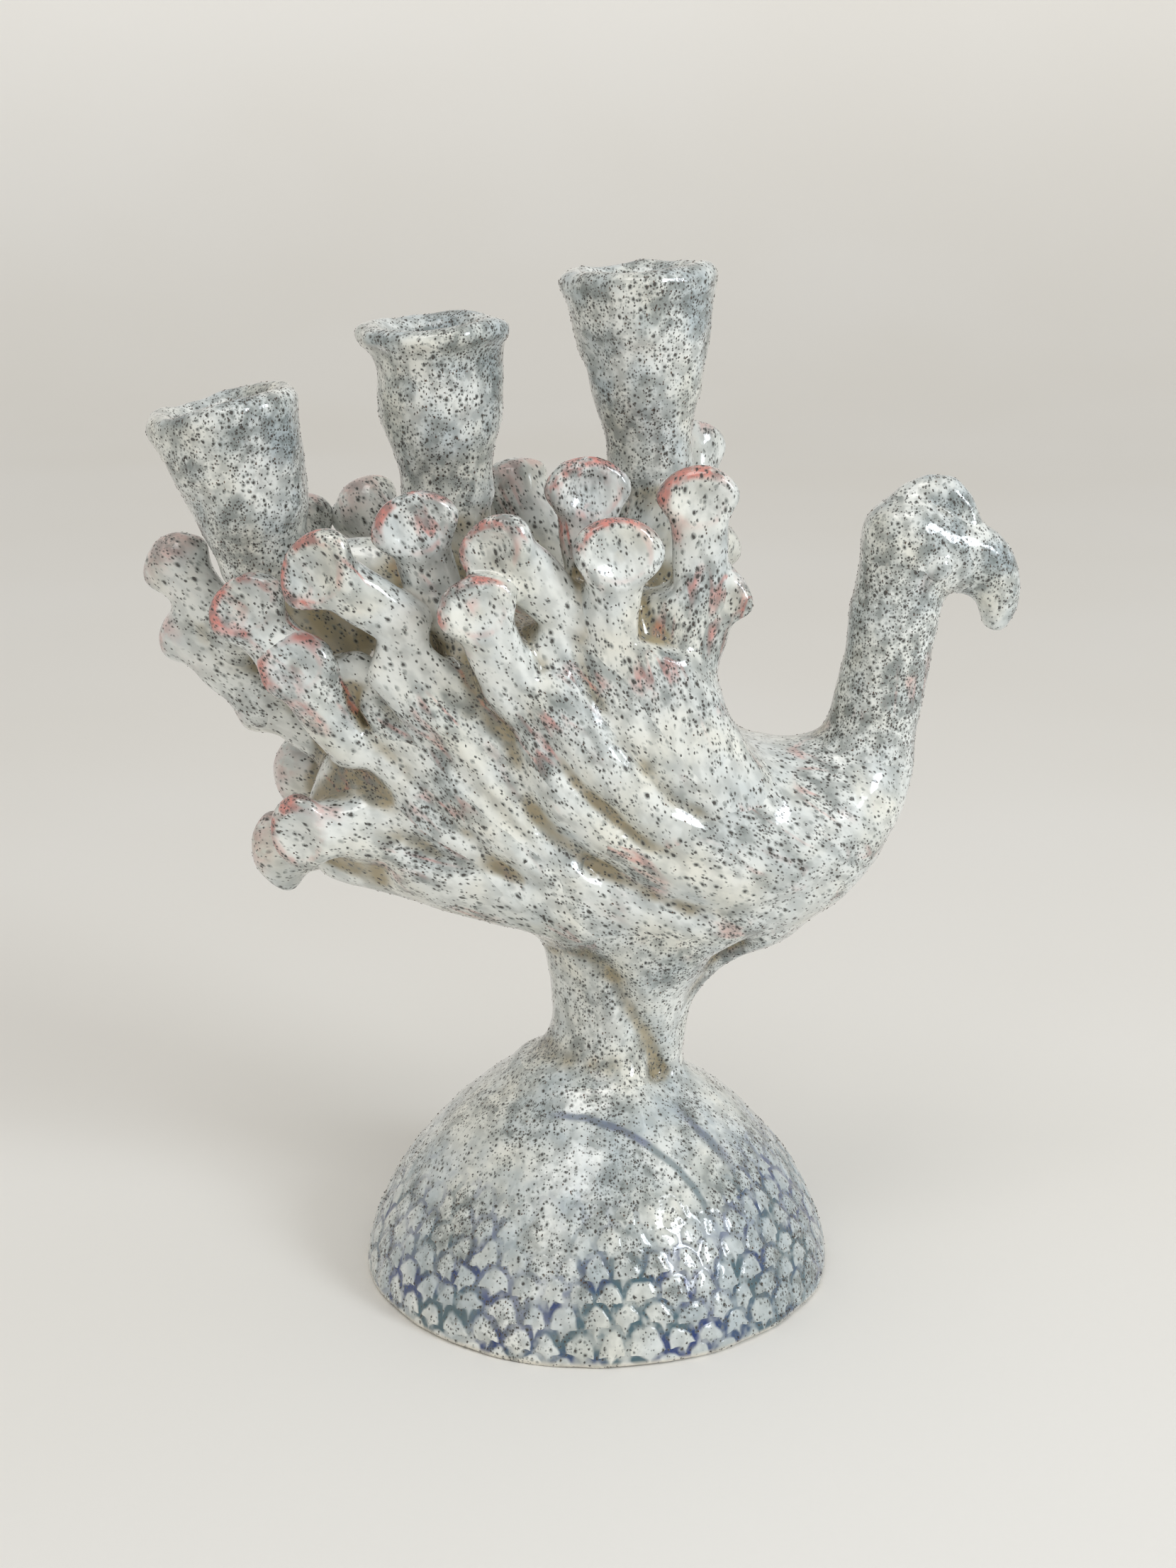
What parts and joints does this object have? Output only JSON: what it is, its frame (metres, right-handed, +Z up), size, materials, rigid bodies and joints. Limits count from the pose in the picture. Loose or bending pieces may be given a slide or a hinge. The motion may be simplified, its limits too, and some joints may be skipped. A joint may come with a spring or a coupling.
{
  "type": "candelabrum",
  "caption": "Hand-built glazed ceramic bird candelabrum: domed foot, raised tail of pressed feathers, three leaning candle cups.",
  "frame": {"origin": "middle of the foot ring, on the table", "axes": "+Z up, +X the way the bird looks, +Y across the bird to its far side"},
  "size_m": [0.2284, 0.13, 0.2738],
  "materials": {
    "foot_glaze": "glossy",
    "body_glaze": "glossy",
    "head_glaze": "glossy",
    "eye_glaze": "glossy",
    "branch_glaze": "glossy",
    "cup_glaze": "glossy",
    "feather_glaze": "glossy"
  },
  "bodies": {
    "root": {"foot_dome": "foot_glaze", "stem": "body_glaze", "body": "body_glaze", "neck": "body_glaze", "head": "head_glaze", "crest": "head_glaze", "beak": "head_glaze", "eye_near": "eye_glaze", "eye_far": "eye_glaze", "web_tail": "branch_glaze", "web_middle": "branch_glaze", "web_shoulder": "branch_glaze", "branch_tail": "branch_glaze", "branch_middle": "branch_glaze", "branch_shoulder": "branch_glaze", "cup_tail": "cup_glaze", "cup_middle": "cup_glaze", "cup_shoulder": "cup_glaze", "feather_near_1": "feather_glaze", "feather_near_2": "feather_glaze", "feather_near_3": "feather_glaze", "feather_near_4": "feather_glaze", "feather_near_5": "feather_glaze", "feather_near_6": "feather_glaze", "feather_near_7": "feather_glaze", "feather_near_8": "feather_glaze", "feather_near_9": "feather_glaze", "feather_near_10": "feather_glaze", "feather_near_11": "feather_glaze", "feather_far_1": "feather_glaze", "feather_far_2": "feather_glaze", "feather_far_3": "feather_glaze", "feather_far_4": "feather_glaze", "feather_far_5": "feather_glaze", "feather_far_6": "feather_glaze", "feather_far_7": "feather_glaze", "feather_far_8": "feather_glaze", "feather_far_9": "feather_glaze", "feather_far_10": "feather_glaze", "feather_far_11": "feather_glaze", "feather_far_12": "feather_glaze"}
  },
  "joints": []
}
